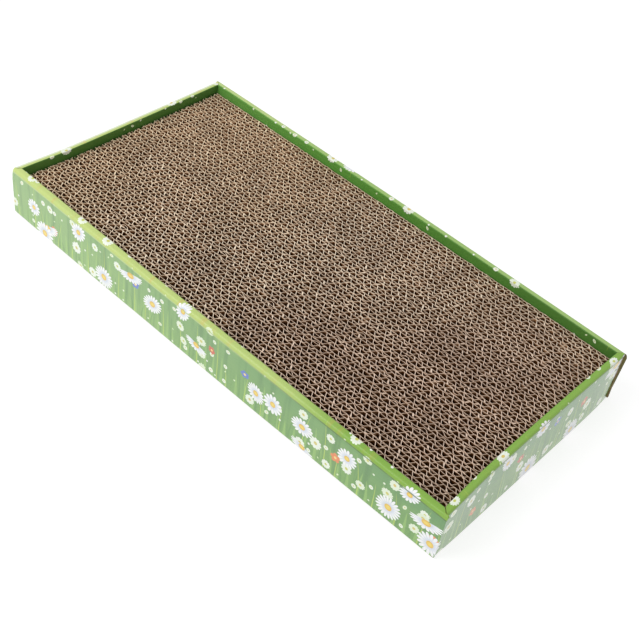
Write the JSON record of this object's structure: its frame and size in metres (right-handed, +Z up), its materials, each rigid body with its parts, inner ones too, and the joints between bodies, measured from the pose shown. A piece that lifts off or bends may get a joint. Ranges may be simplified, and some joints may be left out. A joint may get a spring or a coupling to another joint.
{
  "type": "cat scratcher",
  "caption": "Shallow folded tray of printed board with double walls and rolled rims, holding a loose pad of corrugated strips that stand on edge for a cat to scratch.",
  "frame": {"origin": "middle of the tray's underside, on the floor", "axes": "+X along the tray's long side, +Y across it from the front wall to the back wall, +Z up"},
  "size_m": [0.48, 0.242, 0.049],
  "materials": {
    "printed_outer": "satin",
    "printed_rim": "satin",
    "printed_inner": "satin",
    "raw_board": "matte",
    "corrugated_paper": "matte"
  },
  "bodies": {
    "tray": {"base_panel": "raw_board", "front_outer_wall": "printed_outer", "front_rim": "printed_rim", "front_inner_wall": "printed_inner", "back_outer_wall": "printed_outer", "back_rim": "printed_rim", "back_inner_wall": "printed_inner", "left_outer_wall": "printed_outer", "left_rim": "printed_rim", "left_inner_wall": "printed_inner", "right_outer_wall": "printed_outer", "right_rim": "printed_rim", "right_inner_wall": "printed_inner", "front_left_flap": "raw_board", "front_right_flap": "raw_board", "back_left_flap": "raw_board", "back_right_flap": "raw_board"},
    "pad": {"strip_01": "corrugated_paper", "strip_02": "corrugated_paper", "strip_03": "corrugated_paper", "strip_04": "corrugated_paper", "strip_05": "corrugated_paper", "strip_06": "corrugated_paper", "strip_07": "corrugated_paper", "strip_08": "corrugated_paper", "strip_09": "corrugated_paper", "strip_10": "corrugated_paper", "strip_11": "corrugated_paper", "strip_12": "corrugated_paper", "strip_13": "corrugated_paper", "strip_14": "corrugated_paper", "strip_15": "corrugated_paper", "strip_16": "corrugated_paper", "strip_17": "corrugated_paper", "strip_18": "corrugated_paper", "strip_19": "corrugated_paper", "strip_20": "corrugated_paper", "strip_21": "corrugated_paper", "strip_22": "corrugated_paper", "strip_23": "corrugated_paper", "strip_24": "corrugated_paper", "strip_25": "corrugated_paper", "strip_26": "corrugated_paper", "strip_27": "corrugated_paper", "strip_28": "corrugated_paper", "strip_29": "corrugated_paper"}
  },
  "joints": [
    {"name": "pad_lift", "type": "slide", "parent": "tray", "child": "pad", "axis": [0, 0, 1], "range_m": [0, 0.06]}
  ]
}
